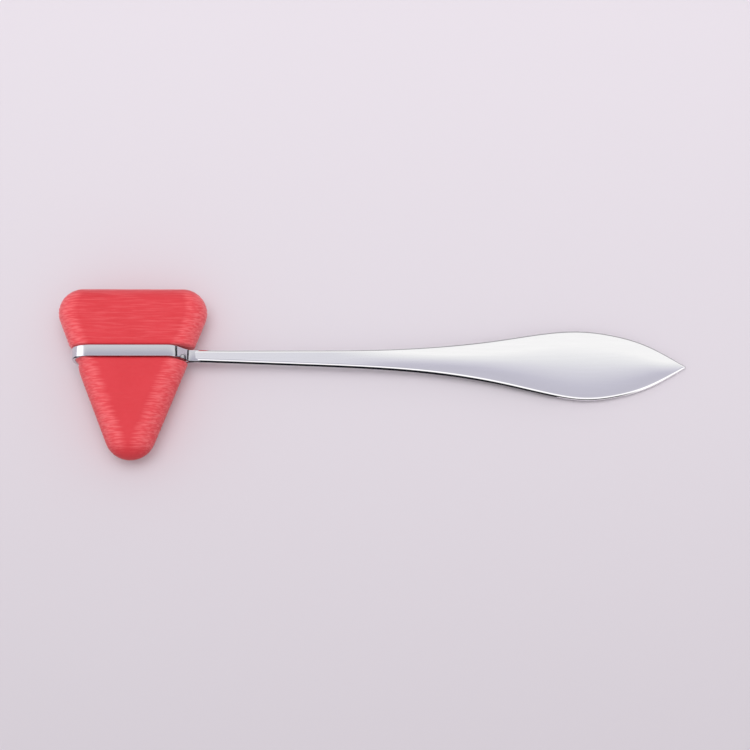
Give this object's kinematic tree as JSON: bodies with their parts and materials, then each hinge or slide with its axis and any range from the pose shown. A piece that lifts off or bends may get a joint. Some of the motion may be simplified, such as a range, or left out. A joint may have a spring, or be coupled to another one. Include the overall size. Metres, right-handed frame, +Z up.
{
  "type": "reflex hammer",
  "caption": "Triangular-head reflex hammer: rubber head gripped at its waist by a chromed strap, on a slim steel handle that widens to a pointed leaf.",
  "frame": {"origin": "on the table that the hammer lies on, under the middle of its outer box", "axes": "+X along the handle, from the head to the leaf's point; +Y towards the head's wide striking edge; +Z up from the table. The handle's own axis slopes 2.37 degrees down towards +X, because the hammer rests on the strap and on the leaf's belly near its point"},
  "size_m": [0.19, 0.0524, 0.0155],
  "materials": {
    "head_rubber": "satin moulded rubber with faint cross striations",
    "chrome_plate": "bright chrome plate on polished steel"
  },
  "bodies": {
    "root": {"rubber_head": "head_rubber", "head_strap": "chrome_plate", "braze_fillet": "chrome_plate", "handle": "chrome_plate"}
  },
  "joints": []
}
